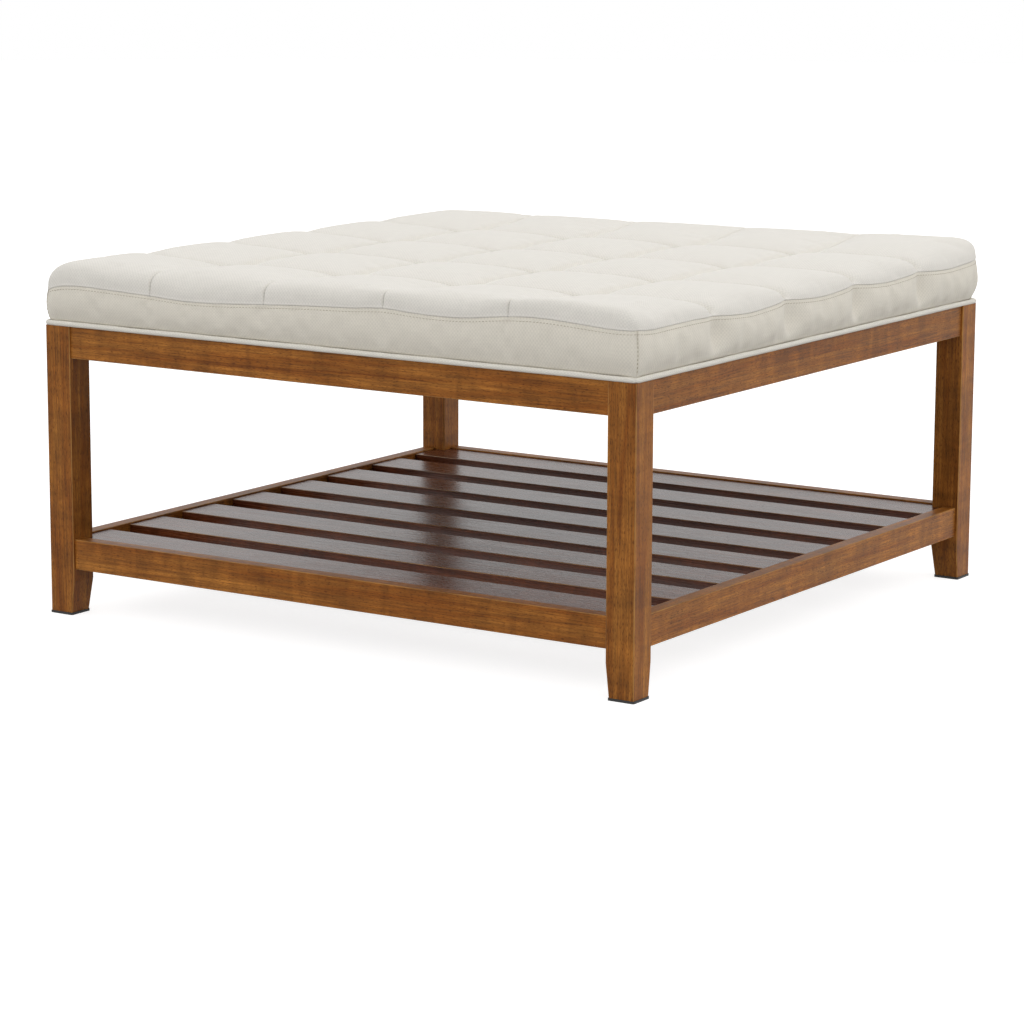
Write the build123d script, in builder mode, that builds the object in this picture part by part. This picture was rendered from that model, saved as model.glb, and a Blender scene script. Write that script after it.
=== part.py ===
from build123d import *
import os
from math import cos, radians, sqrt

# Square ottoman coffee table: a tufted cushion on a wooden frame, with a slatted shelf.
# The origin is at the middle of the floor, +X to the right along the front, +Z up.

# Table, over the outer faces of the legs
table_width = 860.0
table_depth = 860.0

# Foot pads
pad_thickness = 3.0
pad_margin = 0.8
pad_corner_radius = 2.0

# Legs, with the two inner faces drawn in at the foot
leg_width = 38.0
leg_length = 363.0
leg_edge_radius = 1.5
foot_taper_height = 40.0
foot_taper_inset = 4.5

# Aprons under the cushion
apron_height = 40.0
apron_thickness = 20.0
apron_setback = 3.0
apron_edge_radius = 1.2

# Rails round the shelf
rail_height = 38.5
rail_thickness = 19.0
rail_setback = 3.5
rail_ground_clearance = 58.5
rail_edge_radius = 1.2

# Shelf slats and the cleats that carry their ends
slat_count = 8
slat_width = 66.0
slat_thickness = 14.0
slat_drop = 2.0
slat_edge_radius = 1.0
slat_end_clearance = 0.4
slat_notch_clearance = 0.5
cleat_width = 18.0
cleat_height = 18.0
cleat_end_clearance = 0.8

# Corner blocks, glued and screwed in the angle of two boards behind each leg
block_depth = 31.8
upper_block_reveal = 2.0
lower_block_reveal = 1.5

# Hex socket bolts that hold the legs, with washers and threaded inserts
bolt_diameter = 6.0
bolt_length = 60.0
bolt_head_diameter = 10.0
bolt_head_height = 6.0
bolt_head_chamfer = 0.6
bolt_socket_flats = 5.0
bolt_socket_depth = 3.0
bolt_clearance = 0.3
bolt_tip_clearance = 2.0
washer_diameter = 18.0
washer_thickness = 1.6
spring_washer_diameter = 11.8
spring_washer_thickness = 1.5
spring_washer_slit = 1.2
insert_diameter = 10.0
insert_length = 20.0
insert_recess = 5.5
insert_clearance = 0.05

# Wood screws
screw_diameter = 4.0
screw_head_diameter = 8.0
screw_head_height = 2.4
screw_head_top_diameter = 5.0
screw_point_length = 4.0
screw_clearance = 0.05
screw_head_clearance = 0.5
block_screw_grip = 12.0
block_screw_bite = 14.0
block_screw_place = 40.0
cleat_screw_bite = 12.0
slat_screw_grip = 15.0
slat_screw_bite = 9.0
deck_screw_grip = 25.0
deck_screw_bite = 8.0
deck_screw_place = 28.0
deck_screw_shift = 20.0

# Cushion: plywood board, foam, quilted top panel, side bands, welt and dust cover
cushion_corner_radius = 10.0
welt_diameter = 6.0
welt_flange_width = 25.0
welt_flange_thickness = 1.0
board_thickness = 12.0
board_clearance = 0.3
foam_thickness = 41.0
band_draw_in = 0.6
band_bulge = 5.5
border_overhang = 4.0
band_seam_clearance = 0.3
dust_cover_thickness = 1.0

# Tufting: rows of square cells with sewn seams, pulled down where the seams cross
cells_across = 5
cells_deep = 5
crown_height = 21.5
hem_height = 1.0
border_roll_width = 58.0
seam_height_share = 0.45
hem_lift_share = 0.04
roll_arc_count = 2
roll_section_count = 6
puff_station_shares = (0, 0.5, 1)
tie_diameter = 2.4
tie_hole_clearance = 0.4
tie_knot_diameter = 7.0
tie_knot_height = 3.0

# One overrun serves all cuts
overrun = 5.0

# Places that follow from the sizes above
frame_top = pad_thickness + leg_length
apron_bottom = frame_top - apron_height
apron_inner = apron_setback + apron_thickness
rail_top = rail_ground_clearance + rail_height
rail_inner = rail_setback + rail_thickness
block_reach = leg_width + block_depth / sqrt(2)
slat_top = rail_top - slat_drop
slat_bottom = slat_top - slat_thickness
board_bottom = frame_top + welt_flange_thickness
board_top = board_bottom + board_thickness
border_level = board_top + foam_thickness
board_margin = welt_diameter + board_clearance
board_width = table_width - 2 * board_margin
board_depth = table_depth - 2 * board_margin
board_corner_radius = cushion_corner_radius - board_margin
panel_width = table_width + 2 * border_overhang
panel_depth = table_depth + 2 * border_overhang
panel_corner_radius = cushion_corner_radius + border_overhang
cell_width = panel_width / cells_across
cell_depth = panel_depth / cells_deep
slat_pitch = (table_depth - 2 * rail_inner - slat_width) / (slat_count - 1)

corners = {
    "front_left": (-1, -1),
    "front_right": (1, -1),
    "back_left": (-1, 1),
    "back_right": (1, 1),
}

os.makedirs("parts", exist_ok=True)


def write_part(piece, name):
    """Label a finished piece and write its file."""
    piece.label = name
    export_step(piece, f"parts/{name}.step")


def corner_point(corner, u, v, z=0):
    """The point u and v inside the outer leg faces of a corner, at height z."""
    side_x, side_y = corner
    return Vector(side_x * (table_width / 2 - u), side_y * (table_depth / 2 - v), z)


def level_point(corner, u, v):
    """The same point in plan, for a sketch."""
    point = corner_point(corner, u, v)
    return (point.X, point.Y)


def corner_way(corner, u, v):
    """The level direction that runs u and v inwards from a corner."""
    side_x, side_y = corner
    return Vector(-side_x * u, -side_y * v, 0)


def rounded_path(width, depth, radius, level):
    """A closed level path with rounded corners."""
    with BuildSketch() as plan:
        RectangleRounded(width, depth, radius)
    return plan.sketch.face().outer_wire().moved(Location((0, 0, level)))


# Foot pads
for name, corner in corners.items():
    foot_width = leg_width - foot_taper_inset
    centre = corner_point(corner, foot_width / 2, foot_width / 2)
    pad_width = foot_width + 2 * pad_margin
    with BuildPart() as foot_pad:
        with BuildSketch(Plane(origin=centre)):
            RectangleRounded(pad_width, pad_width, pad_corner_radius)
        extrude(amount=pad_thickness)
    write_part(foot_pad.part, f"foot_pad_{name}")


# Bolt seats: a plane on the long face of each corner block, looking to the middle of the table
def bolt_seat(corner, level):
    """Plane on the long face of a corner block, with its axis away from the leg."""
    middle = corner_point(corner, block_reach, block_reach, level)
    return Plane(origin=middle, z_dir=corner_way(corner, 1, 1))


def block_end(inner):
    """How far in from the corner the arms of a block reach, on boards with that inner face."""
    return 2 * block_reach - inner


upper_block_bottom = apron_bottom + upper_block_reveal
lower_block_bottom = rail_ground_clearance + lower_block_reveal
upper_bolt_level = (upper_block_bottom + frame_top) / 2
lower_bolt_level = (lower_block_bottom + slat_bottom) / 2
bolt_levels = (upper_bolt_level, lower_bolt_level)
bolt_seats = [bolt_seat(corner, level) for level in bolt_levels for corner in corners.values()]
washer_stack = washer_thickness + spring_washer_thickness

# Legs: three rounded squares joined by straight faces, drilled for two inserts
insert_end = insert_recess + insert_length
bolt_reach = bolt_length - washer_stack - block_depth
for name, corner in corners.items():
    leg_stations = [
        (pad_thickness, leg_width - foot_taper_inset),
        (pad_thickness + foot_taper_height, leg_width),
        (frame_top, leg_width),
    ]
    with BuildPart() as leg:
        for level, width in leg_stations:
            with BuildSketch(Plane(origin=corner_point(corner, width / 2, width / 2, level))):
                RectangleRounded(width, width, leg_edge_radius)
        loft(ruled=True)
        inner_edge = corner_point(corner, leg_width, leg_width)
        for level in bolt_levels:
            drill = Plane(origin=inner_edge + Vector(0, 0, level), z_dir=corner_way(corner, 1, 1))
            with Locations(drill.location):
                CounterBoreHole(
                    radius=bolt_diameter / 2 + bolt_clearance,
                    counter_bore_radius=insert_diameter / 2 + insert_clearance,
                    counter_bore_depth=insert_end,
                    depth=max(bolt_reach, insert_end) + bolt_tip_clearance,
                )
    write_part(leg.part, f"leg_{name}")


# Screw seats: planes where the heads bear, looking back against the way the screw is driven
def screw_seat(point, drive):
    """Plane on a screw's seat; the screw runs down its axis."""
    return Plane(origin=point, z_dir=drive * -1)


def block_screw_seats(corner, inner, level):
    """The two screws of a corner block, one into each board."""
    place = leg_width + block_screw_place
    seat = inner + block_screw_grip
    return {
        "along_x": screw_seat(corner_point(corner, place, seat, level), corner_way(corner, 0, -1)),
        "along_y": screw_seat(corner_point(corner, seat, place, level), corner_way(corner, -1, 0)),
    }


def deck_screw_seats(corner):
    """The two screws that run up through an upper block into the plywood board."""
    far = leg_width + deck_screw_place
    near = far - deck_screw_shift
    seat = frame_top - deck_screw_grip
    return [
        screw_seat(corner_point(corner, far, near, seat), Vector(0, 0, 1)),
        screw_seat(corner_point(corner, near, far, seat), Vector(0, 0, 1)),
    ]


def slat_middle(index):
    """Middle of a slat across its width, counted from the front."""
    return -table_depth / 2 + rail_inner + slat_width / 2 + index * slat_pitch


cleat_middle_x = table_width / 2 - rail_inner - cleat_width / 2


def slat_screw_seats(side, indexes):
    """The screws that run up into the ends of some slats on one side."""
    seat = slat_bottom - slat_screw_grip
    return [
        screw_seat(Vector(side * cleat_middle_x, slat_middle(index), seat), Vector(0, 0, 1))
        for index in indexes
    ]


def cleat_screw_seats(side):
    """The screws that hold a cleat to its side rail, under every other gap."""
    middle_x = table_width / 2 - rail_inner - cleat_width
    level = slat_bottom - cleat_height / 2
    return [
        screw_seat(Vector(side * middle_x, slat_middle(index) + slat_pitch / 2, level), Vector(side, 0, 0))
        for index in range(1, slat_count - 2, 2)
    ]


upper_block_seats = {c: block_screw_seats(c, apron_inner, upper_bolt_level) for c in corners.values()}
lower_block_seats = {c: block_screw_seats(c, rail_inner, lower_bolt_level) for c in corners.values()}
all_deck_screw_seats = [seat for c in corners.values() for seat in deck_screw_seats(c)]
block_screw_length = block_screw_grip + block_screw_bite
cleat_screw_length = cleat_width + cleat_screw_bite
slat_screw_length = slat_screw_grip + slat_screw_bite
deck_screw_length = deck_screw_grip + welt_flange_thickness + deck_screw_bite


def drill_screws(seats, length, bore_head=False):
    """Drill the current piece for screws, and for their heads where these are sunk."""
    with Locations(*[seat.location for seat in seats]):
        if bore_head:
            Cylinder(
                screw_head_diameter / 2 + screw_head_clearance,
                block_depth,
                align=(Align.CENTER, Align.CENTER, Align.MIN),
                mode=Mode.SUBTRACT,
            )
        Cylinder(
            screw_diameter / 2 + screw_clearance,
            length,
            align=(Align.CENTER, Align.CENTER, Align.MAX),
            mode=Mode.SUBTRACT,
        )


def frame_board(runs, inner, setback, height, bottom, radius, seats, more_screws=()):
    """A board between two legs, along X on the front and back or along Y on the sides."""
    along, end = runs
    thickness = inner - setback
    middle = setback + thickness / 2
    if along == "x":
        size = (table_width - 2 * leg_width, thickness)
        centre = Vector(0, end * (table_depth / 2 - middle), bottom)
        axis = Axis.X
    else:
        size = (thickness, table_depth - 2 * leg_width)
        centre = Vector(end * (table_width / 2 - middle), 0, bottom)
        axis = Axis.Y
    place = 1 if along == "x" else 0
    board_seats = [seats[c][f"along_{along}"] for c in corners.values() if c[place] == end]
    with BuildPart() as board:
        with BuildSketch(Plane(origin=centre)):
            Rectangle(*size)
        extrude(amount=height)
        fillet(board.edges().filter_by(axis), radius)
        drill_screws(board_seats, block_screw_length)
        for screw_seats, length in more_screws:
            drill_screws(screw_seats, length)
    return board.part


sides = {"front": ("x", -1), "back": ("x", 1), "left": ("y", -1), "right": ("y", 1)}

# Aprons
for name, runs in sides.items():
    apron = frame_board(
        runs, apron_inner, apron_setback, apron_height, apron_bottom, apron_edge_radius, upper_block_seats
    )
    write_part(apron, f"apron_{name}")

# Shelf rails; the side ones also take the cleats' screws
for name, runs in sides.items():
    along, end = runs
    cleat_screws = [(cleat_screw_seats(end), cleat_screw_length)] if along == "y" else []
    rail = frame_board(
        runs,
        rail_inner,
        rail_setback,
        rail_height,
        rail_ground_clearance,
        rail_edge_radius,
        lower_block_seats,
        cleat_screws,
    )
    write_part(rail, f"shelf_rail_{name}")


# Corner blocks
def corner_block(corner, inner, bottom, top, seats, level, upright_screws, upright_length):
    """A hardwood block that fills the angle of two boards and hugs the leg's inner edge."""
    arm_end = block_end(inner)
    outline = [
        (leg_width, inner),
        (arm_end, inner),
        (inner, arm_end),
        (inner, leg_width),
        (leg_width, leg_width),
    ]
    with BuildPart() as block:
        with BuildSketch(Plane.XY.offset(bottom)):
            with BuildLine():
                Polyline([level_point(corner, u, v) for u, v in outline], close=True)
            make_face()
        extrude(amount=top - bottom)
        with Locations(bolt_seat(corner, level).location):
            Hole(radius=bolt_diameter / 2 + bolt_clearance)
        drill_screws(seats[corner].values(), block_screw_length, bore_head=True)
        drill_screws(upright_screws, upright_length, bore_head=True)
    return block.part


for name, corner in corners.items():
    upper_block = corner_block(
        corner,
        apron_inner,
        upper_block_bottom,
        frame_top,
        upper_block_seats,
        upper_bolt_level,
        deck_screw_seats(corner),
        deck_screw_length,
    )
    write_part(upper_block, f"corner_block_upper_{name}")

for name, corner in corners.items():
    end_slat = 0 if corner[1] < 0 else slat_count - 1
    lower_block = corner_block(
        corner,
        rail_inner,
        lower_block_bottom,
        slat_bottom,
        lower_block_seats,
        lower_bolt_level,
        slat_screw_seats(corner[0], [end_slat]),
        slat_screw_length,
    )
    write_part(lower_block, f"corner_block_lower_{name}")

# Cleats under the slat ends, between the lower corner blocks
for name, side in (("left", -1), ("right", 1)):
    cleat_length = table_depth - 2 * (block_end(rail_inner) + cleat_end_clearance)
    inner_slats = range(1, slat_count - 1)
    with BuildPart() as cleat:
        with BuildSketch(Plane(origin=(side * cleat_middle_x, 0, slat_bottom))):
            Rectangle(cleat_width, cleat_length)
        extrude(amount=-cleat_height)
        drill_screws(cleat_screw_seats(side), cleat_screw_length)
        drill_screws(slat_screw_seats(side, inner_slats), slat_screw_length, bore_head=True)
    write_part(cleat.part, f"slat_cleat_{name}")

# Slats, from the front; the first and last are notched round the legs
slat_length = table_width - 2 * (rail_inner + slat_end_clearance)
for index in range(slat_count):
    with BuildPart() as slat:
        with BuildSketch(Plane(origin=(0, slat_middle(index), slat_bottom))):
            Rectangle(slat_length, slat_width)
        extrude(amount=slat_thickness)
        fillet(slat.edges().filter_by(Axis.X), slat_edge_radius)
        if index in (0, slat_count - 1):
            notch = leg_width + slat_notch_clearance
            end = -1 if index == 0 else 1
            for side in (-1, 1):
                with BuildSketch(Plane(origin=corner_point((side, end), notch / 2, notch / 2, slat_bottom))):
                    Rectangle(notch, notch)
                extrude(amount=slat_thickness, mode=Mode.SUBTRACT)
        for side in (-1, 1):
            drill_screws(slat_screw_seats(side, [index]), slat_screw_length)
    write_part(slat.part, f"slat_{index + 1}")


# Fasteners: one of each kind, then groups of them in place
def group_of(piece, planes):
    """Copies of one fastener, each standing on its own plane."""
    with BuildPart() as group:
        with Locations(*[plane.location for plane in planes]):
            add(piece)
    return group.part


def wood_screw(length):
    """A pan head screw with a conical point, its seat at the origin and its point down."""
    outline = [
        (0, screw_head_height),
        (screw_head_top_diameter / 2, screw_head_height),
        (screw_head_diameter / 2, 0),
        (screw_diameter / 2, 0),
        (screw_diameter / 2, screw_point_length - length),
        (0, -length),
    ]
    with BuildPart() as screw:
        with BuildSketch(Plane.XZ):
            with BuildLine():
                Polyline(outline, close=True)
            make_face()
        revolve(axis=Axis.Z)
    return screw.part


with BuildPart() as leg_bolt:
    with BuildSketch():
        Circle(bolt_head_diameter / 2)
    extrude(amount=bolt_head_height)
    chamfer(leg_bolt.faces().sort_by(Axis.Z)[-1].edges(), bolt_head_chamfer)
    with BuildSketch(Plane.XY.offset(bolt_head_height)):
        RegularPolygon(bolt_socket_flats / 2, 6, major_radius=False)
    extrude(amount=-bolt_socket_depth, mode=Mode.SUBTRACT)
    with BuildSketch():
        Circle(bolt_diameter / 2)
    extrude(amount=-bolt_length)
write_part(group_of(leg_bolt.part, [seat.offset(washer_stack) for seat in bolt_seats]), "leg_bolts")

with BuildPart() as flat_washer:
    with BuildSketch():
        Circle(washer_diameter / 2)
        Circle(bolt_diameter / 2 + bolt_clearance, mode=Mode.SUBTRACT)
    extrude(amount=washer_thickness)
write_part(group_of(flat_washer.part, bolt_seats), "flat_washers")

with BuildPart() as spring_washer:
    with BuildSketch():
        Circle(spring_washer_diameter / 2)
        Circle(bolt_diameter / 2 + bolt_clearance, mode=Mode.SUBTRACT)
        with Locations((spring_washer_diameter / 2, 0)):
            Rectangle(spring_washer_diameter, spring_washer_slit, mode=Mode.SUBTRACT)
    extrude(amount=spring_washer_thickness)
spring_planes = [seat.offset(washer_thickness) for seat in bolt_seats]
write_part(group_of(spring_washer.part, spring_planes), "spring_washers")

# Inserts start where the leg's inner edge is wide enough to hold their full round
with BuildPart() as threaded_insert:
    with BuildSketch(Plane.XY.offset(-insert_recess)):
        Circle(insert_diameter / 2)
        Circle(bolt_diameter / 2 + insert_clearance, mode=Mode.SUBTRACT)
    extrude(amount=-insert_length)
insert_planes = [seat.offset(-block_depth) for seat in bolt_seats]
write_part(group_of(threaded_insert.part, insert_planes), "threaded_inserts")

block_seats = [
    seat
    for seats in (upper_block_seats, lower_block_seats)
    for pair in seats.values()
    for seat in pair.values()
]
write_part(group_of(wood_screw(block_screw_length), block_seats), "block_screws")

both_sides = (-1, 1)
cleat_seats = [seat for side in both_sides for seat in cleat_screw_seats(side)]
write_part(group_of(wood_screw(cleat_screw_length), cleat_seats), "cleat_screws")

slat_seats = [seat for side in both_sides for seat in slat_screw_seats(side, range(slat_count))]
write_part(group_of(wood_screw(slat_screw_length), slat_seats), "slat_screws")

write_part(group_of(wood_screw(deck_screw_length), all_deck_screw_seats), "deck_screws")

# Tuft points, where the seams of the top panel cross
tuft_points = [
    (-panel_width / 2 + column * cell_width, -panel_depth / 2 + row * cell_depth)
    for column in range(1, cells_across)
    for row in range(1, cells_deep)
]
tie_hole_radius = tie_diameter / 2 + tie_hole_clearance
knot_hole_radius = tie_knot_diameter / 2 + tie_hole_clearance

# Plywood board under the foam
with BuildPart() as seat_board:
    with BuildSketch(Plane.XY.offset(board_bottom)):
        RectangleRounded(board_width, board_depth, board_corner_radius)
    extrude(amount=board_thickness)
    drill_screws(all_deck_screw_seats, deck_screw_length)
    with Locations(*[Plane(origin=(x, y, board_bottom), z_dir=(0, 0, -1)).location for x, y in tuft_points]):
        CounterBoreHole(tie_hole_radius, knot_hole_radius, tie_knot_height, board_thickness)
write_part(seat_board.part, "seat_board")

# Foam pad, with a hole for each tuft tie
with BuildPart() as foam_pad:
    with BuildSketch(Plane.XY.offset(board_top)):
        RectangleRounded(board_width, board_depth, board_corner_radius)
        with Locations(*tuft_points):
            Circle(tie_hole_radius, mode=Mode.SUBTRACT)
    extrude(amount=foam_thickness)
write_part(foam_pad.part, "foam_pad")

# Tuft ties: twine from the underside of the top panel to a knot sunk in the board
with BuildPart() as tuft_ties:
    with BuildSketch(Plane.XY.offset(board_bottom)):
        with Locations(*tuft_points):
            Circle(tie_knot_diameter / 2)
    extrude(amount=tie_knot_height)
    with BuildSketch(Plane.XY.offset(board_bottom)):
        with Locations(*tuft_points):
            Circle(tie_diameter / 2)
    extrude(amount=border_level - board_bottom)
write_part(tuft_ties.part, "tuft_ties")

# Dust cover, a thin cloth under the board inside the welt's flange
dust_margin = welt_diameter / 2 + welt_flange_width
with BuildPart() as dust_cover:
    with BuildSketch(Plane.XY.offset(board_bottom)):
        Rectangle(table_width - 2 * dust_margin, table_depth - 2 * dust_margin)
    extrude(amount=-dust_cover_thickness)
    drill_screws(all_deck_screw_seats, deck_screw_length)
write_part(dust_cover.part, "dust_cover")

# Welt: a cord all round the foot of the cushion, with a flat flange stapled under the board
welt_width = table_width - welt_diameter
welt_depth = table_depth - welt_diameter
welt_level = frame_top + welt_diameter / 2
welt_corner_radius = cushion_corner_radius - welt_diameter / 2
with BuildPart() as welt:
    with BuildSketch(Plane(origin=(0, -welt_depth / 2, welt_level), z_dir=(1, 0, 0))):
        Circle(welt_diameter / 2)
    sweep(path=rounded_path(welt_width, welt_depth, welt_corner_radius, welt_level))
    with BuildSketch(Plane.XY.offset(frame_top)):
        RectangleRounded(welt_width, welt_depth, welt_corner_radius)
        Rectangle(table_width - 2 * dust_margin, table_depth - 2 * dust_margin, mode=Mode.SUBTRACT)
    extrude(amount=welt_flange_thickness)
write_part(welt.part, "welt")


# Side bands: four strips sewn together at the corners, drawn in at the welt and full in the middle
def band_ring():
    """The closed ring that the four bands make, as a swept profile."""
    welt_top = frame_top + welt_diameter + band_seam_clearance
    inner_y = -table_depth / 2 + board_margin
    front_y = -table_depth / 2
    middle = (welt_top + border_level) / 2
    with BuildPart() as ring:
        with BuildSketch(Plane.YZ):
            with BuildLine():
                Polyline(
                    (front_y + band_draw_in, welt_top),
                    (inner_y, welt_top),
                    (inner_y, border_level),
                    (front_y - border_overhang, border_level),
                )
                ThreePointArc(
                    (front_y - border_overhang, border_level),
                    (front_y - band_bulge, middle),
                    (front_y + band_draw_in, welt_top),
                )
            make_face()
        sweep(path=rounded_path(board_width, board_depth, board_corner_radius, welt_top))
    return ring.part


full_ring = band_ring()
band_outer = band_bulge + overrun
band_inner = panel_corner_radius + board_margin + overrun
for name, (along, end) in sides.items():
    near_end, far_end = ((-1, end), (1, end)) if along == "x" else ((end, -1), (end, 1))
    sector = [(near_end, -band_outer), (far_end, -band_outer), (far_end, band_inner), (near_end, band_inner)]
    with BuildPart() as side_band:
        add(full_ring)
        with BuildSketch(Plane.XY.offset(frame_top)):
            with BuildLine():
                Polyline([level_point(corner, inset, inset) for corner, inset in sector], close=True)
            make_face()
        extrude(amount=border_level - frame_top + overrun, mode=Mode.INTERSECT)
    write_part(side_band.part, f"side_band_{name}")


# Top panel: five rows of five puffed cells, rolled over to the border seam
def puff_share(distance, cell):
    """Height over the hem at a distance in from the border, as a share of the crown."""
    if distance < border_roll_width:
        return sqrt(1 - (1 - distance / border_roll_width) ** 2)
    if distance < cell:
        fall = (distance - border_roll_width) / (cell - border_roll_width)
        return 1 - (1 - seam_height_share) * fall**2
    across = (distance % cell) / cell
    return seam_height_share + (1 - seam_height_share) * 4 * across * (1 - across)


def roll_stations(steps):
    """Distances in from the border, at even turns of the roll from upright to level."""
    return [border_roll_width * (1 - cos(radians(90 * step / steps))) for step in range(steps + 1)]


def side_stations(cells, cell):
    """Distances in from one border at which the arcs of a profile meet."""
    length = cells * cell
    rolled = roll_stations(roll_arc_count)
    seams = [index * cell for index in range(1, cells)]
    return rolled + seams + [length - place for place in reversed(rolled)]


def height_at(place, length, cell, lift):
    """Height of the panel's top at a place along a profile."""
    share = puff_share(min(place, length - place), cell)
    return border_level + hem_height + crown_height * lift * share


def panel_section(y, lift):
    """Closed profile of the panel across the table, its puffs lifted by a share of the crown."""
    stations = side_stations(cells_across, cell_width)
    half = panel_width / 2
    with BuildSketch(Plane(origin=(0, y, 0), x_dir=(1, 0, 0), z_dir=(0, -1, 0))) as section:
        with BuildLine():
            for start, end in zip(stations, stations[1:]):
                middle = (start + end) / 2
                ThreePointArc(
                    *[
                        (place - half, height_at(place, panel_width, cell_width, lift))
                        for place in (start, middle, end)
                    ]
                )
            Polyline(
                (half, border_level + hem_height),
                (half, border_level),
                (-half, border_level),
                (-half, border_level + hem_height),
            )
        make_face()
    return section.sketch


def row_lofts(row):
    """Stations of the lofts of one row, as distances in from the front border."""
    if row not in (0, cells_deep - 1):
        return [[(row + share) * cell_depth for share in puff_station_shares]]
    fall = cell_depth - border_roll_width
    fall_stations = [border_roll_width + share * fall for share in puff_station_shares]
    lofts = [roll_stations(roll_section_count), fall_stations]
    if row == 0:
        return lofts
    return [[panel_depth - place for place in reversed(stations)] for stations in lofts]


with BuildPart() as top_panel:
    for row in range(cells_deep):
        for stations in row_lofts(row):
            sections = []
            for place in stations:
                share = puff_share(min(place, panel_depth - place), cell_depth)
                sections.append(panel_section(place - panel_depth / 2, max(share, hem_lift_share)))
            loft(sections=sections)
    with BuildSketch(Plane.XY.offset(border_level - overrun)):
        RectangleRounded(panel_width, panel_depth, panel_corner_radius)
    extrude(amount=hem_height + crown_height + 2 * overrun, mode=Mode.INTERSECT)
write_part(top_panel.part, "top_panel")
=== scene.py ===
"""Looks of a square ottoman coffee table: a tufted linen cushion on a stained wooden frame with a shelf."""

import math

import bpy
import numpy as np
from mathutils import Matrix, Vector


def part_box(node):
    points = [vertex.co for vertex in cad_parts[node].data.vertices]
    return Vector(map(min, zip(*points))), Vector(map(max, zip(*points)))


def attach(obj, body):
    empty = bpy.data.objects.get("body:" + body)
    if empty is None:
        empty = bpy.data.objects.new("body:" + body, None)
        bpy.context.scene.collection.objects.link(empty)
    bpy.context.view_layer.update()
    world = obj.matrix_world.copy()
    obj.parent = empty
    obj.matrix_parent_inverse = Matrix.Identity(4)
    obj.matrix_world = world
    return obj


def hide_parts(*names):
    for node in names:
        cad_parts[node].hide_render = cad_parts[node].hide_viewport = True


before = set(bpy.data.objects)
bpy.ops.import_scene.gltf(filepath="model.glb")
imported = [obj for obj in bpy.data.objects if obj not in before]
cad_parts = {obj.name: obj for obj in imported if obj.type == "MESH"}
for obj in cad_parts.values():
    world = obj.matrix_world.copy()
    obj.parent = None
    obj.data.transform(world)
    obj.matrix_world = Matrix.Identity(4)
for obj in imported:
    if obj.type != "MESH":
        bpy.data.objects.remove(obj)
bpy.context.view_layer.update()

MM = 0.001
tiny = 1e-12

# The frame's corners, the way each side faces, and the sides whose grids face inwards
corners = ("front_left", "front_right", "back_left", "back_right")
sides = {"front": (0, -1), "right": (1, 0), "back": (0, 1), "left": (-1, 0)}
reversed_sides = ("front", "right")

# Camera, as the photograph was taken: a long lens, a little above the cushion, from the front right
camera_place = (2.381, -3.656, 0.938)
camera_turn = 33.26
camera_dip = 10.78
camera_roll = 0.22
camera_lens = 120.7

# Studio: the ring of light starts and is full at these heights of directions, from below and from above
floor_radius = 12.0
floor_sides = 64
floor_glow = 0.8
floor_colour = "BCBCBC"
white = (1, 1, 1, 1)
world_light = 0.22
ring_light = 1.25
ring_foot = (0.14, 0.34)
ring_top = (0.86, 0.66)
lamp_aim = (0, 0, 0.25)
lamps = {
    "top_lamp": ((0.1, 0.3, 3.2), 1.8, 6.0),
    "right_lamp": ((3.4, 0.9, 2.2), 1.6, 12.0),
    "front_lamp": ((-0.7, -3.7, 1.7), 2.0, 6.0),
}

# Wood: stain, brightness, mirroring and roughness of each finish; each board has its own tone and figure
frame_finish = {"stains": ("7E4818", "9E662B"), "tone": 1.1, "polish": 0.15, "roughness": 0.42}
# The slats' darker, redder stains and lower tone are painted shade: the same beech as the frame, darkened for
# its place under the cushion
shaded_slat_finish = {"stains": ("4C2212", "6A381C"), "tone": 0.85, "polish": 0.46, "roughness": 0.27}
cleat_finish = {**frame_finish, "tone": 0.9}
board_tones = (1.0, 0.95, 1.04, 0.98, 1.02)
board_shift = 1.7
cleat_shift = 64
figure_shift = (1.3, 2.1, 3.7)
slat_count = 8

# Where most values of a noise pattern lie
noise_span = (0.3, 0.7)

# Places read from the frame
panel_low, panel_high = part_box("top_panel")
board_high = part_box("seat_board")[1]
half = panel_high.x
border_level = panel_low.z
band_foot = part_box("side_band_front")[0].z
board_half = board_high.x
board_top = board_high.z
welt_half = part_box("welt")[1].x
frame_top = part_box("leg_front_right")[1].z

# Tufted top: square cells with sewn seams, tied down where they cross
cell_count = 5
cell = 2 * half / cell_count
crown = 22.0 * MM
corner_lifts = {(-1, -1): 3.5 * MM, (1, -1): 4 * MM, (-1, 1): -3 * MM, (1, 1): 7 * MM}
corner_radii = {(-1, -1): 24 * MM, (1, -1): 10 * MM, (-1, 1): 18 * MM, (1, 1): 26 * MM}
puff_fullness = 2.6
valley_across = 10 * MM
valley_along = 11 * MM
seam_fade_start = 25 * MM
seam_fade_reach = 120 * MM
seam_end_shares = {"front": 0.12, "right": 0.95, "back": 0.15, "left": 0.4}
tuft_depth = 2.5 * MM
tuft_reach = 18 * MM
tie_top = 0.9 * MM

# Rolled border of the top: distance in and rise, in mm, on the way up from the border seam
roll_profiles = {
    "y": [
        (0, 0), (-0.3, 3.6), (-0.4, 8), (0.1, 12.5), (1.5, 16.7), (4.6, 20.1), (10, 22.5), (18, 23.5),
        (30, 23.2), (45, 22.2),
    ],
    "x": [
        (0, 0), (-0.1, 3.4), (0.7, 7), (2.6, 10.6), (6.2, 14), (11.6, 17), (18.6, 19.5), (27, 21.2), (35, 22),
        (45, 22.2),
    ],
}
crown_level = 22.2
roll_width = 45 * MM

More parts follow.
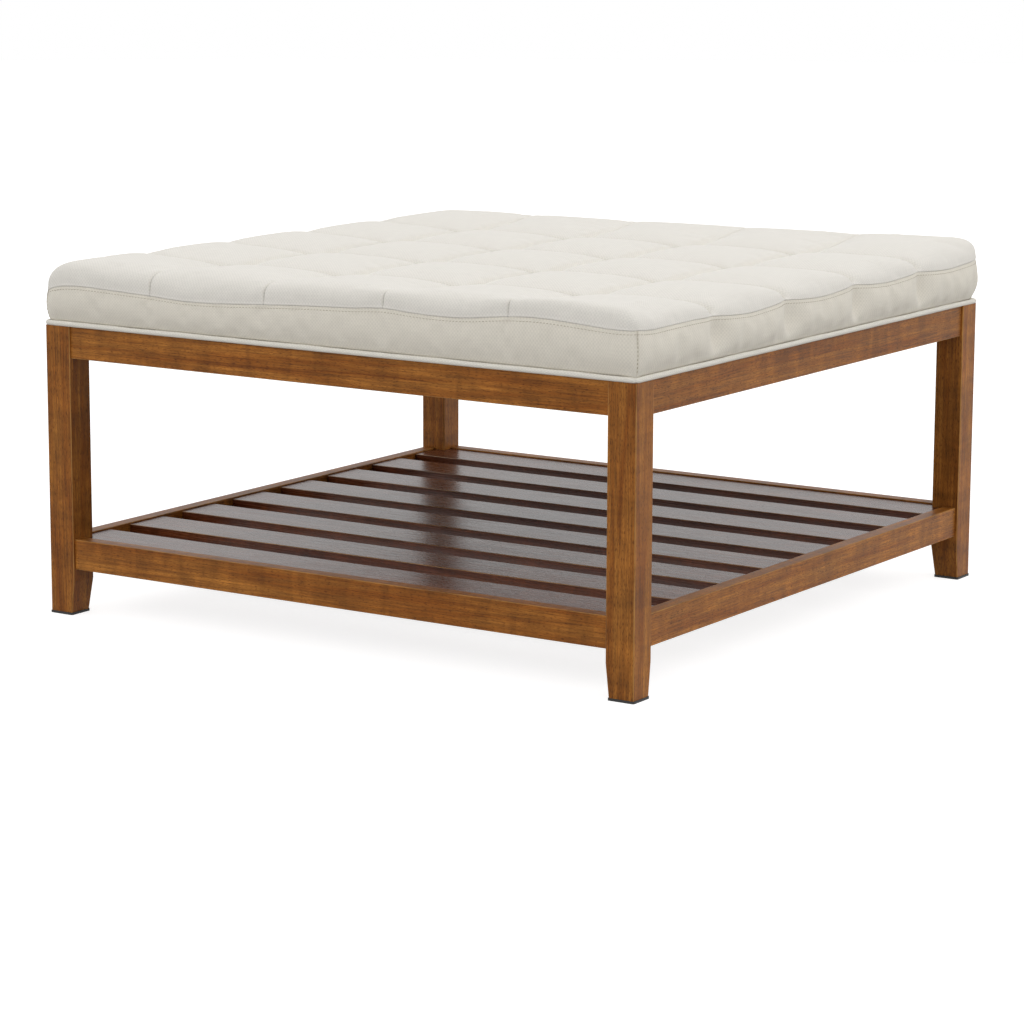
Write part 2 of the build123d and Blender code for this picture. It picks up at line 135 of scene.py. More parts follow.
# Sewing of the top: pinch_across is for seams from front to back, pinch_along for those from side to side
pinch_across_depth = 8.5 * MM
pinch_across_reach = 8 * MM
pinch_along_depth = 9.5 * MM
pinch_along_reach = 7 * MM
pinch_start = 18 * MM
seam_depth = 2.8 * MM
seam_reach = 1.4 * MM
crease_start = 6 * MM
# Painted shade along the top's seams: the core and reach of the dark line, and how dark it is painted
seam_shade_core = 0.3 * MM
seam_shade_reach = 1.3 * MM
painted_seam_shade = 0.78

# Side bands: full in the middle, drawn in at the welt, dented under the ends of the top's seams
band_foot_inset = 6.4 * MM
foot_pull_power = 4
foot_corner_share = 0.3
foot_corner_reach = 34 * MM
corner_calm = 30 * MM
band_fullness = 2.4 * MM
lobe_fullness = {"front": 0.0, "right": 3.4 * MM, "back": 0.8 * MM, "left": 1.6 * MM}
dent_reach = 25 * MM
dent_depths = {"front": 0.6 * MM, "right": 9.0 * MM, "back": 1.6 * MM, "left": 3.6 * MM}
dent_height_share = 1.1
dent_power = 1.5
ripple_waves = ((47, 0.35, 0.5), (29, -0.5, 0.3), (83, 0.2, 0.4))
ripple_depths = {"front": 0.25 * MM, "right": 1.6 * MM, "back": 0.4 * MM, "left": 0.9 * MM}
corner_seam_depth = 0.9 * MM
corner_seam_reach = 1.4 * MM

# Border seam: places and rises in mm along each side, from left to right or front to back
border_waves = {
    "front": [
        (-424, -6), (-400, -4), (-377, -2), (-330, -3.5), (-254, -6.7), (-205, -9.5), (-150, -8), (-83, -4),
        (-30, -1), (46, 1.5), (87, 5.3), (120, 2.5), (150, 1), (196, 1), (230, 4.5), (255, 7.7), (290, 9.5),
        (313, 9.5), (350, 7), (395, 4), (424, 2.5),
    ],
    "right": [
        (-424, 2.5), (-369, 4), (-298, 4.5), (-271, 3), (-235, 1), (-185, -2), (-125, 1.5), (-101, 4),
        (-60, 1.5), (-10, -1), (45, 2), (72, 5), (110, 2), (160, -1), (215, 1.5), (243, 3.5), (290, 1),
        (335, -1), (390, 2), (424, 4),
    ],
    "back": [
        (-424, 0), (-360, -2), (-300, 0), (-260, 4), (-220, -1), (-150, -3), (-110, -1), (-86, 4), (-40, 0),
        (20, -3), (60, 0), (86, 5), (130, 0), (190, -3), (230, 0), (260, 4), (320, 2), (380, 3), (424, 4),
    ],
    "left": [
        (-424, -6), (-370, -3), (-300, -1), (-262, 3), (-220, -2), (-150, -3), (-112, 0), (-84, 5), (-40, 0),
        (20, -3), (58, -1), (90, 4), (130, 0), (200, -4), (235, 0), (258, 4), (310, 1), (370, -1), (424, 0),
    ],
}
wave_reach = 18 * MM
border_pulls = {"front": 1.0 * MM, "right": 7.5 * MM, "back": 1.5 * MM, "left": 3.5 * MM}
border_pull_reach = 19 * MM
border_slack_share = 0.25
border_groove = 0.7 * MM
border_bead = 0.7 * MM
border_bead_place = 1.6 * MM
border_bead_reach = 1.0 * MM

# Inflation of the cover as cloth, on a coarse grid
coarse_step = 8 * MM
coarse_levels = np.linspace(0, 1, 8)
seam_tolerance = 0.01 * MM
pressure = 4.0
spare_cloth = 0.004
cloth_bending = 0.6
cloth_quality = 6
inflate_frames = 20
most_swell = 4 * MM
roll_swell = 0.3

# Finished grids, with lines close together at the seams; a plain line gives way to one that is added there
fine_step = 4 * MM
seam_lines = (0.8 * MM, 1.7 * MM, 3.0 * MM, 5.0 * MM, 7.2 * MM, 9.8 * MM, 12.8 * MM)
border_lines = (0.6 * MM, 1.3 * MM, 2.1 * MM, 3.2 * MM)
line_gap_share = 0.8
line_digits = 6
band_levels = np.array([
    0, 0.015, 0.035, 0.06, 0.1, 0.16, 0.24, 0.34, 0.44, 0.54, 0.64, 0.74, 0.83, 0.9, 0.955, 1.0,
])
facing_row = 4
lip_gap = 0.2 * MM
base_inset = 1.5 * MM
base_gap = 0.4 * MM
band_inner_gap = 0.3 * MM

# Stitches of the cover; the shares are places along a stitch, with its rise and thickness
stitch_pitch = 4.6 * MM
stitch_length = 3.3 * MM
stitch_thickness = 0.7 * MM
stitch_shares = ((0, -0.6, 0.6), (0.2, 0.35, 1), (0.8, 0.35, 1), (1, -0.6, 0.6))
stitch_look_ahead = 0.1 * MM
stitch_sides = 6
stitch_drop = 3.6 * MM
corner_stitch_gap = 4 * MM

# Welt: its cord's round runs between these degrees; the neck and bulge shares are of the cord's radius
welt_proud = 2.2 * MM
welt_radius = 3.1 * MM
welt_arc = (-90, 222)
welt_arc_steps = 14
welt_neck_share = 1.8
welt_bulge_share = 1.7
welt_step = 8 * MM
welt_corner_radius = 9 * MM
welt_corner_steps = 6
welt_wave = 0.45 * MM
welt_lift_share = 0.1
welt_wrap_share = 1.5
welt_noise_waves = ((61, 0.9), (97, 2.3), (173, 4.1), (37, 5.2))
flange_reach = 28 * MM
flange_thickness = 0.9 * MM

# Foam; its edges are rounded through rings at shares of foam_edge, inwards and down or up
foam_edge_gap = 0.6 * MM
foam_edge = 6 * MM
foam_upper_shares = ((0.3, 0.3), (0, 1))
foam_lower_shares = ((0, 1), (0.3, 0.3), (1, 0))
foam_cells = 60
foam_top_gap = 0.4 * MM
foam_crown = 2.0 * MM
foam_dimple = 5 * MM
foam_dimple_reach = 15 * MM

# Dust cover
hem_width = 12 * MM
hem_slope = 1 * MM
hem_drop = 0.3 * MM
dust_cells = 40
dust_sag = 2.5 * MM
dust_ripple = 0.25 * MM
dust_ripple_reaches = (31 * MM, 37 * MM)
dust_thickness = 0.45 * MM

# The cloth's way over its rolled border, half its width, and how far along it the seams lie
roll_points = {axis: np.array(profile) * MM for axis, profile in roll_profiles.items()}
roll_stations = np.concatenate([[0], np.cumsum(np.hypot(*np.diff(roll_points["y"], axis=0).T))])
roll_path = roll_stations[-1]
cloth_half = roll_path + half - roll_width
seam_paths = roll_path + cell - roll_width + cell * np.arange(cell_count - 1)


def to_linear(colour):
    """An sRGB hex colour as linear red, green, blue and alpha."""
    parts = [int(colour[place:place + 2], 16) / 255 for place in (0, 2, 4)]
    return [part / 12.92 if part <= 0.04045 else ((part + 0.055) / 1.055) ** 2.4 for part in parts] + [1.0]


def new_material(name):
    """An empty node material and its Principled shader."""
    material = bpy.data.materials.new(name)
    material.use_nodes = True
    return material, material.node_tree.nodes["Principled BSDF"]


def set_inputs(node, inputs):
    """Give a node's sockets, by name or number, values or other nodes' outputs."""
    for key, value in inputs.items():
        if isinstance(value, bpy.types.NodeSocket):
            node.id_data.links.new(value, node.inputs[key])
        else:
            node.inputs[key].default_value = value


def add_node(owner, kind, inputs=(), **settings):
    """Add one node and give its outputs; inputs are in the order of its sockets or as for set_inputs."""
    node = owner.node_tree.nodes.new("ShaderNode" + kind)
    for key, value in settings.items():
        setattr(node, key, value)
    set_inputs(node, inputs if isinstance(inputs, dict) else dict(enumerate(inputs)))
    return node.outputs


def drawn_noise(material, place, axis, shift=0, *, width, length, **settings):
    """Noise drawn out along one axis, such as grain; a shift takes it to another part of its figure."""
    scale = [1 / width] * 3
    scale[axis] = 1 / length
    moved = [part * shift for part in figure_shift]
    drawn = add_node(material, "Mapping", {"Vector": place, "Location": moved, "Scale": scale})[0]
    return add_node(material, "TexNoise", {"Vector": drawn, "Scale": 1.0, **settings})[0]


def stained_wood(name, along, shift, tone, finish):
    """Beech under a cognac stain and a thin satin lacquer.

    The stain gathers in the pores as short dark flecks, in fine streaks along the fibres and in clouds across
    the grain. The eased edges are painted lighter in patches: partly the stain rubbed thin there, partly a
    painted highlight where the lacquer would catch the light. The lacquer mirrors pale surroundings softly at
    low angles.
    The slats are the same beech as the frame, painted darker and redder as painted shade for their place
    under the cushion, under a glossier coat. The flecks are drawn about twice as coarse as real pores so that
    they show.
    """
    edge_turn = (0.985, 0.93)
    tone *= finish["tone"]
    light, dark = map(to_linear, finish["stains"])
    wood, shader = new_material(name)
    coordinates = add_node(wood, "TexCoord")
    board = (wood, coordinates["Object"], "xyz".index(along), shift)
    figure = drawn_noise(*board, width=14 * MM, length=260 * MM, Detail=3.0, Distortion=1.2)
    fibre = drawn_noise(*board, width=1.6 * MM, length=60 * MM, Detail=3.0, Roughness=0.65)
    fleck = drawn_noise(*board, width=0.9 * MM, length=5 * MM, Detail=1.0)
    cloud = drawn_noise(*board, width=60 * MM, length=22 * MM, Detail=2.0, Roughness=0.5, Distortion=0.6)
    share = add_node(wood, "MapRange", (figure, 0.32, 0.68))[0]
    stain = add_node(wood, "Mix", {0: share, 6: light, 7: dark}, data_type="RGBA")[2]
    streak = add_node(wood, "MapRange", (fibre, *noise_span, 0.6, 1.36))[0]
    shade = add_node(wood, "MapRange", (cloud, *noise_span, 0.78 * tone, 1.2 * tone))[0]
    depth = add_node(wood, "Math", (streak, shade), operation="MULTIPLY")[0]
    toned = add_node(wood, "VectorMath", {0: stain, 3: depth}, operation="SCALE")[0]
    pore = add_node(wood, "MapRange", (fleck, 0.55, 0.7, 0.0, 0.62))[0]
    pored = add_node(wood, "Mix", {0: pore, 6: toned, 7: to_linear("3A1606")}, data_type="RGBA")[2]

    # Eased edges painted lighter in patches: partly stain rubbed thin, partly a painted highlight where the
    # lacquer would catch the light
    turned = add_node(wood, "VectorMath", (coordinates["Normal"],), operation="ABSOLUTE")[0]
    x, y, z = add_node(wood, "SeparateXYZ", (turned,))
    larger = add_node(wood, "Math", (x, y), operation="MAXIMUM")[0]
    flat = add_node(wood, "Math", (larger, z), operation="MAXIMUM")[0]
    eased_edge = add_node(wood, "MapRange", (flat, *edge_turn, 0.0, 0.55))[0]
    patchy = add_node(wood, "MapRange", (fibre, 0.35, 0.6, 0.3, 1.0))[0]
    rubbed_and_highlit = add_node(wood, "Math", (eased_edge, patchy), operation="MULTIPLY")[0]
    edged = add_node(wood, "Mix", {0: rubbed_and_highlit, 6: pored, 7: to_linear("C89A5E")}, data_type="RGBA")[2]

    height = add_node(wood, "Math", (fibre, pore), operation="SUBTRACT")[0]
    bump = add_node(wood, "Bump", {"Strength": 0.35, "Distance": 0.15 * MM, "Height": height})[0]
    least, most = finish["roughness"] - 0.06, finish["roughness"] + 0.06
    dull = add_node(wood, "MapRange", (fibre, *noise_span, least, most))[0]
    set_inputs(shader, {
        "Base Color": edged, "Normal": bump, "Roughness": dull, "Specular IOR Level": finish["polish"],
    })
    return wood


def planed_rubberwood():
    """Planed, unfinished rubberwood of the corner blocks: dry and pale brown, with fine rings along x."""
    wood, shader = new_material("planed_rubberwood")
    place = add_node(wood, "TexCoord")["Object"]
    pattern = {"Detail": 5.0, "Roughness": 0.6, "Distortion": 0.4}
    rings = drawn_noise(wood, place, 0, width=6 * MM, length=180 * MM, **pattern)
    share = add_node(wood, "MapRange", (rings, 0.35, 0.66))[0]
    colours = {0: share, 6: to_linear("946538"), 7: to_linear("B98A58")}
    colour = add_node(wood, "Mix", colours, data_type="RGBA")[2]
    bump = add_node(wood, "Bump", {"Strength": 0.3, "Distance": 0.2 * MM, "Height": rings})[0]
    set_inputs(shader, {"Base Color": colour, "Normal": bump, "Roughness": 0.72})
    return wood


def birch_plywood():
    """Sanded birch plywood: a pale face with faint figure, and even light and dark plies on its edge."""
    ply = 1.5 * MM
    wood, shader = new_material("birch_plywood")
    place = add_node(wood, "TexCoord")["Object"]
    level = add_node(wood, "SeparateXYZ", (place,))[2]
    layer = add_node(wood, "Math", (level, math.pi / ply), operation="MULTIPLY")[0]
    wave_of_plies = add_node(wood, "Math", (layer,), operation="SINE")[0]
    share = add_node(wood, "MapRange", (wave_of_plies, -0.2, 0.2))[0]
    colours = {0: share, 6: to_linear("A67C4C"), 7: to_linear("D6B884")}
    plies = add_node(wood, "Mix", colours, data_type="RGBA")[2]
    veneer = drawn_noise(wood, place, 0, width=1000 * MM / 90, length=1000 * MM / 6, Detail=4.0)
    shade = add_node(wood, "MapRange", (veneer, *noise_span, 0.85, 1.08))[0]
    toned = add_node(wood, "VectorMath", {0: plies, 3: shade}, operation="SCALE")[0]
    set_inputs(shader, {"Base Color": toned, "Roughness": 0.7})
    return wood


def linen_weave(name, colour, sewn=False):
    """Linen-look upholstery cloth in a plain weave of slubbed polyester yarn.

    The threads are drawn about three times as coarse as real ones so that the weave shows, and follow the
    cloth round its rolls. Slubs make soft streaks both ways, and the yarn's fuzz gives a slight sheen at low
    angles. Where cells of the top are sewn, a fine dark line of painted shade is drawn along each seam, where
    shade falls in the crease.
    """
    thread = 2.2 * MM
    cloth, shader = new_material(name)
    place = add_node(cloth, "TexCoord")["UV"]
    ways = add_node(cloth, "SeparateXYZ", (place,))[:2]
    threads = []
    slubs = []
    for direction, way in enumerate(ways):
        turn = add_node(cloth, "Math", (way, math.pi / thread), operation="MULTIPLY")[0]
        threads.append(add_node(cloth, "Math", (turn,), operation="SINE")[0])
        slubs.append(drawn_noise(cloth, place, 1 - direction, width=thread, length=26 * MM, Detail=2.0))
    weave = add_node(cloth, "Math", threads, operation="MULTIPLY")[0]
    yarn = add_node(cloth, "Math", slubs, operation="ADD")[0]
    streaks = add_node(cloth, "MapRange", (yarn, 0.6, 1.4, 0.96, 1.04))[0]
    gaps = add_node(cloth, "MapRange", (weave, -1.0, 0.6, 0.9, 1.0))[0]
    shade = add_node(cloth, "Math", (streaks, gaps), operation="MULTIPLY")[0]
    # Painted shade: on the top, a fine dark line is painted along each seam, where shade falls in the sewn
    # crease
    for way in ways if sewn else ():
        kept = add_node(cloth, "Clamp", (way, seam_paths[0] - cell / 2, seam_paths[-1] + cell / 2))[0]
        past = add_node(cloth, "Math", (kept, seam_paths[0]), operation="SUBTRACT")[0]
        beside = add_node(cloth, "Math", (past, cell / 2), operation="PINGPONG")[0]
        seam_shade_limits = (seam_shade_core, seam_shade_reach, painted_seam_shade, 1.0)
        line = add_node(cloth, "MapRange", (beside, *seam_shade_limits))[0]
        shade = add_node(cloth, "Math", (shade, line), operation="MULTIPLY")[0]
    toned = add_node(cloth, "VectorMath", {0: to_linear(colour)[:3], 3: shade}, operation="SCALE")[0]
    low_weave = add_node(cloth, "Math", (weave, 0.5), operation="MULTIPLY")[0]
    height = add_node(cloth, "Math", (low_weave, yarn), operation="ADD")[0]
    bump = add_node(cloth, "Bump", {"Strength": 0.5, "Distance": 0.25 * MM, "Height": height})[0]
    set_inputs(shader, {
        "Base Color": toned, "Normal": bump, "Roughness": 0.92, "Specular IOR Level": 0.25,
        "Sheen Weight": 0.15, "Sheen Roughness": 0.5,
    })
    return cloth


def fine_grained(name, colour, roughness, grain, contrast=0.12, metallic=0.0, depth=0.1 * MM):
    """A surface with an even fine grain, such as moulded plastic, foam, thread or plated steel."""
    material, shader = new_material(name)
    place = add_node(material, "TexCoord")["Object"]
    pattern = {"Vector": place, "Scale": 1 / grain, "Detail": 3.0, "Roughness": 0.6}
    speckle = add_node(material, "TexNoise", pattern)[0]
    shade = add_node(material, "MapRange", (speckle, *noise_span, 1 - contrast, 1 + contrast))[0]
    toned = add_node(material, "VectorMath", {0: to_linear(colour)[:3], 3: shade}, operation="SCALE")[0]
    bump = add_node(material, "Bump", {"Strength": 0.3, "Distance": depth, "Height": speckle})[0]
    set_inputs(shader, {"Base Color": toned, "Normal": bump, "Roughness": roughness, "Metallic": metallic})
    return material


def dress(nodes, material):
    """Give CAD nodes their material."""
    for node in nodes:
        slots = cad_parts[node].data.materials
        slots.clear()
        slots.append(material)


def dress_frame():
    """Materials of every wooden, plastic and metal node of the frame, and of the ties."""
    boards = {f"leg_{corner}": "z" for corner in corners}
    for side in sides:
        along = "x" if side in ("front", "back") else "y"
        boards[f"apron_{side}"] = along
        boards[f"shelf_rail_{side}"] = along
    boards.update({f"slat_{number}": "x" for number in range(1, slat_count + 1)})
    for place, (board, along) in enumerate(boards.items()):
        tone = board_tones[place % len(board_tones)]
        finish = shaded_slat_finish if board.startswith("slat") else frame_finish
        dress([board], stained_wood(f"stained_beech_{board}", along, board_shift * place, tone, finish))
    for shift, side in enumerate(("left", "right"), cleat_shift):
        wood = stained_wood(f"stained_beech_cleat_{side}", "y", shift, 1.0, cleat_finish)
        dress([f"slat_cleat_{side}"], wood)
    levels = ("upper", "lower")
    dress([f"corner_block_{level}_{corner}" for corner in corners for level in levels], planed_rubberwood())
    dress(["seat_board"], birch_plywood())

    # Dull black plastic, with the faint grain of its mould
    plastic = fine_grained("moulded_black_polyethylene", "1A1918", 0.55, 1.2 * MM)
    dress([f"foot_pad_{corner}" for corner in corners], plastic)

    # Oxide leaves steel dark and half dull; zinc plating is pale and bright, or straw-coloured if passivated
    black_steel = fine_grained("black_oxide_steel", "2A2A2D", 0.45, 0.8 * MM, 0.1, 1.0, 0.02 * MM)
    zinc_steel = fine_grained("zinc_plated_steel", "B9BCC0", 0.32, 1.5 * MM, 0.06, 1.0, 0.02 * MM)
    yellow_steel = fine_grained("yellow_zinc_plated_steel", "BDA56A", 0.34, 1.5 * MM, 0.1, 1.0, 0.02 * MM)
    dress(["leg_bolts", "flat_washers", "spring_washers"], black_steel)
    dress(["threaded_inserts"], zinc_steel)
    dress(["block_screws", "cleat_screws", "slat_screws", "deck_screws"], yellow_steel)

    # Waxed twine is cream, with the soft shine of its wax on a coarse twist
    dress(["tuft_ties"], fine_grained("waxed_polyester_twine", "D9D2C0", 0.75, 0.7 * MM, 0.2))


def eased(share):
    """A share from 0 to 1 that starts and ends gently."""
    return share * share * (3 - 2 * share)


def bell(distance, reach):
    """A smooth bump along distances: 1 at its middle, and close to 0 at twice its reach."""
    return np.exp(-((distance / reach) ** 2))


def unit(vectors):
    """Vectors brought to a length of 1."""
    return vectors / np.maximum(np.linalg.norm(vectors, axis=-1, keepdims=True), tiny)


def spline_matrix(old, new):
    """Weights of a natural cubic spline that takes values at old places to new ones."""
    count = len(old)
    gap = np.diff(old)
    left = np.eye(count)
    right = np.zeros((count, count))
    for first, (here, ahead) in enumerate(zip(gap, gap[1:])):
        left[first + 1, first:first + 3] = here, 2 * (here + ahead), ahead
        right[first + 1, first:first + 3] = 6 / here, -6 / here - 6 / ahead, 6 / ahead
    bend = np.linalg.solve(left, right)
    cell_of = np.clip(np.searchsorted(old, new, side="right") - 1, 0, count - 2)
    span = gap[cell_of]
    after = (new - old[cell_of]) / span
    before = 1 - after
    row = np.arange(len(new))
    weights = np.zeros((len(new), count))
    weights[row, cell_of] += before
    weights[row, cell_of + 1] += after
    weights += ((before**3 - before) * span**2 / 6)[:, None] * bend[cell_of]
    weights += ((after**3 - after) * span**2 / 6)[:, None] * bend[cell_of + 1]
    return weights


def border_distance(path):
    """Distance along the cloth to the nearer border."""
    return np.minimum(path, 2 * cloth_half - path)


def rolled(path, axis):
    """Distance in from the border and share of the crown's height, for distances along the cloth."""
    near = border_distance(path)
    on_roll = spline_matrix(roll_stations, np.clip(near, 0, roll_path)) @ roll_points[axis]
    distance = np.where(near < roll_path, on_roll[:, 0], roll_width + near - roll_path)
    return distance, np.where(near < roll_path, on_roll[:, 1] / (crown_level * MM), 1)


def plan_place(path, axis):
    """Place across the table for a distance along the cloth from its left or front border."""
    distance = rolled(path, axis)[0]
    return np.where(path < cloth_half, distance - half, half - distance)


def cloth_stations(step, near_seams=(), near_border=()):
    """Distances along the cloth of a grid's lines, with extra ones beside each seam and at the border."""
    stops = [0, roll_path, *seam_paths, 2 * cloth_half - roll_path, 2 * cloth_half]
    lines = set()
    for start, end in zip(stops, stops[1:]):
        count = max(1, round((end - start) / step))
        lines.update(round(start + (end - start) * part / count, line_digits) for part in range(count + 1))
    extra = {seam + side * gap for seam in seam_paths for gap in near_seams for side in (-1, 1)}
    extra |= {*near_border, *(2 * cloth_half - gap for gap in near_border)}
    extra = {round(line, line_digits) for line in extra}
    spare = min([*near_seams, *near_border], default=0) * line_gap_share
    kept = [line for line in lines if all(abs(line - other) > spare for other in extra) or line in stops]
    return np.array(sorted(set(kept) | extra))


def wave(side, place):
    """Rise of the border seam at places along one side."""
    places, rises = np.array(border_waves[side], float).T * MM
    middle, before, after = [np.interp(place + move, places, rises) for move in (0, -wave_reach, wave_reach)]
    return (2 * middle + before + after) / 4


def seam_ends(place, reach):
    """How close places along a side are to the ends of the top's seams, from 0 to 1."""
    return sum(bell(place + half - index * cell, reach) for index in range(1, cell_count))


def tie_distances(x, y):
    """How far places lie from each tie, where two seams cross."""
    steps = [index * cell for index in range(1, cell_count)]
    return [np.hypot(x + half - column, y + half - row) for column in steps for row in steps]


def valley_share(place):
    """How far down a place lies between two rows of cells: 1 on a seam and 0 in the middle of a row."""
    across = np.abs(2 * ((place + half) % cell) / cell - 1)
    return np.where(half - np.abs(place) > cell / 2, across**puff_fullness, 0)


def seam_fade(place, low_side, high_side):
    """Depth of a seam at places along it, as a share: it runs out towards the border."""
    end = np.where(place < 0, seam_end_shares[low_side], seam_end_shares[high_side])
    share = np.clip((half - np.abs(place) - seam_fade_start) / seam_fade_reach, 0, 1)
    return end + (1 - end) * eased(share)


def corner_radius(x, y):
    """Radius of the corner in whose quarter a place lies."""
    front = np.where(x < 0, corner_radii[-1, -1], corner_radii[1, -1])
    back = np.where(x < 0, corner_radii[-1, 1], corner_radii[1, 1])
    return np.where(y < 0, front, back)


def rounded_corners(x, y):
    """Move the corners of a square grid onto arcs."""
    radius = corner_radius(x, y)
    start = half - radius
    p = np.clip(np.abs(x) - start, 0, None)
    q = np.clip(np.abs(y) - start, 0, None)
    inside = (p > 0) & (q > 0)
    p_round = np.where(inside, p * np.sqrt(1 - (q / radius) ** 2 / 2), p)
    q_round = np.where(inside, q * np.sqrt(1 - (p / radius) ** 2 / 2), q)
    return np.sign(x) * (np.abs(x) - p + p_round), np.sign(y) * (np.abs(y) - q + q_round)


def top_surface(path):
    """The top panel as a grid of points, for distances along the cloth that hold both ways."""
    x, y = np.meshgrid(plan_place(path, "x"), plan_place(path, "y"))
    full = np.full_like(x, crown)
    for (corner_x, corner_y), lift in corner_lifts.items():
        full += lift * ((1 + corner_x * x / half) * (1 + corner_y * y / half) / 4) ** 2
    across = valley_across * valley_share(x) * seam_fade(y, "front", "back")
    along = valley_along * valley_share(y) * seam_fade(x, "left", "right")
    share = rolled(path, "x")[1][None, :] * rolled(path, "y")[1][:, None]
    rise = (full - np.hypot(across, along)) * share
    out_x = np.zeros_like(x)
    out_y = np.zeros_like(x)
    for side, (side_x, side_y) in sides.items():
        place = x if side_x == 0 else y
        distance = half - (side_x * x + side_y * y)
        fade = np.clip(1 - np.maximum(distance, 0) / roll_width, 0, 1) ** 2
        taper = np.clip((half - np.abs(place)) / corner_calm, 0, 1)
        slack = border_slack_share - seam_ends(place, border_pull_reach)
        pull = border_pulls[side] * slack * taper * fade
        rise += wave(side, place) * fade
        out_x += side_x * pull
        out_y += side_y * pull
    for away in tie_distances(x, y):
        rise -= tuft_depth * np.exp(-away / tuft_reach)
    x, y = rounded_corners(x, y)
    return np.stack([x + out_x, y + out_y, border_level + rise], axis=-1)


def border_of(grid, side):
    """The row of a top grid that lies along one side, from left to right or front to back."""
    return {"front": grid[0], "back": grid[-1], "left": grid[:, 0], "right": grid[:, -1]}[side]


def side_line(path, side):
    """Places along one side, with their x and y before its corners are rounded."""
    side_x, side_y = sides[side]
    places = plan_place(path, "x" if side_x == 0 else "y")
    x = places if side_x == 0 else np.full_like(places, side_x * half)
    y = places if side_y == 0 else np.full_like(places, side_y * half)
    return places, x, y


def outward(path, side):
    """Outward directions along one side, turned at the rounded corners."""
    x, y = side_line(path, side)[1:]
    start = half - corner_radius(x, y)
    x, y = rounded_corners(x, y)
    p = np.sign(x) * np.clip(np.abs(x) - start, 0, None)
    q = np.sign(y) * np.clip(np.abs(y) - start, 0, None)
    return unit(np.stack([p, q, np.zeros_like(p)], axis=-1))


def band_surface(ring, path, side, levels):
    """One side band as a grid of points from the border seam, which is ring, down to the welt."""
    places, x, y = side_line(path, side)
    x, y = rounded_corners(x, y)
    foot = np.stack([x, y, np.full_like(x, band_foot)], axis=-1)
    level = levels[:, None]
    end = border_distance(path)
    lobes = lobe_fullness[side] * np.clip(end / (2 * corner_calm), 0, 1)
    swell = (band_fullness + lobes) * 4 * level * (1 - level)
    dent_height = np.sin(math.pi * np.clip(level * dent_height_share, 0, 1)) ** dent_power
    dent = dent_depths[side] * seam_ends(places, dent_reach) * dent_height
    folds = sum(
        share * np.sin(2 * math.pi * (places / (length * MM) + slant * level) + length)
        for length, slant, share in ripple_waves
    )
    dent = dent + ripple_depths[side] * folds * np.sin(math.pi * level) ** 2
    pinch = corner_seam_depth * bell(end, corner_seam_reach)
    corner_share = foot_corner_share + (1 - foot_corner_share) * np.clip(end / foot_corner_reach, 0, 1)
    drawn_in = band_foot_inset * corner_share * level**foot_pull_power
    bulge = (swell - dent - pinch - drawn_in)[..., None]
    level = level[..., None]
    return ring * (1 - level) + foot * level + outward(path, side) * bulge


def grid_faces(rows, columns, first=0):
    """Quads of a grid of points that are numbered row by row."""
    index = first + np.arange(rows * columns).reshape(rows, columns)
    quads = np.stack([index[:-1, :-1], index[:-1, 1:], index[1:, 1:], index[1:, :-1]], axis=-1)
    return quads.reshape(-1, 4).tolist()


def grid_rim(rows, columns):
    """Numbers of the points round the border of a grid, in order."""
    index = np.arange(rows * columns).reshape(rows, columns)
    return np.concatenate([index[0, :-1], index[:-1, -1], index[-1, :0:-1], index[:0:-1, 0]])


def wall_faces(outer, inner):
    """Quads between two rings of as many points, given by their numbers."""
    return np.stack([np.roll(outer, -1), outer, inner, np.roll(inner, -1)], axis=1).tolist()


def closed_pad(grid, walls, base_level):
    """Points and faces of a pad: its surface, walls through rings of points, and a flat base."""
    rows, columns = grid.shape[:2]
    ring = grid_rim(rows, columns)
    faces = grid_faces(rows, columns)
    total = rows * columns
    for _ in walls:
        inner = np.arange(total, total + len(ring))
        faces += wall_faces(ring, inner)
        ring = inner
        total += len(ring)
    faces += np.stack([np.roll(ring, -1), ring, np.full_like(ring, total)], axis=1).tolist()
    return np.concatenate([grid.reshape(-1, 3), *walls, [[0, 0, base_level]]]), faces


def closed_sheet(outer, inner):
    """Points and faces of a sheet between two grids of as many points."""
    rows, columns = outer.shape[:2]
    total = rows * columns
    rim = grid_rim(rows, columns)
    faces = grid_faces(rows, columns)
    faces += [quad[::-1] for quad in grid_faces(rows, columns, total)]
    faces += wall_faces(rim, rim + total)
    return np.concatenate([outer.reshape(-1, 3), inner.reshape(-1, 3)]), faces


def grid_normals(grid):
    """Unit normals of a grid of points, on the side that faces up for the top."""
    return unit(np.cross(np.gradient(grid, axis=1), np.gradient(grid, axis=0)))


def make_piece(name, points, faces, material, laid=None):
    """A smooth mesh object that rides on the table; laid gives its points' places on the cloth."""
    mesh = bpy.data.meshes.new(name)
    mesh.from_pydata([tuple(point) for point in points], [], faces)
    mesh.update()
    mesh.materials.append(material)
    if laid is not None:
        loops = np.empty(len(mesh.loops), np.int32)
        mesh.loops.foreach_get("vertex_index", loops)
        mesh.uv_layers.new(name="cloth").data.foreach_set("uv", np.asarray(laid, np.float32)[loops].ravel())
    mesh.shade_smooth()
    piece = bpy.data.objects.new(name, mesh)
    bpy.context.scene.collection.objects.link(piece)
    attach(piece, "root")
    return piece


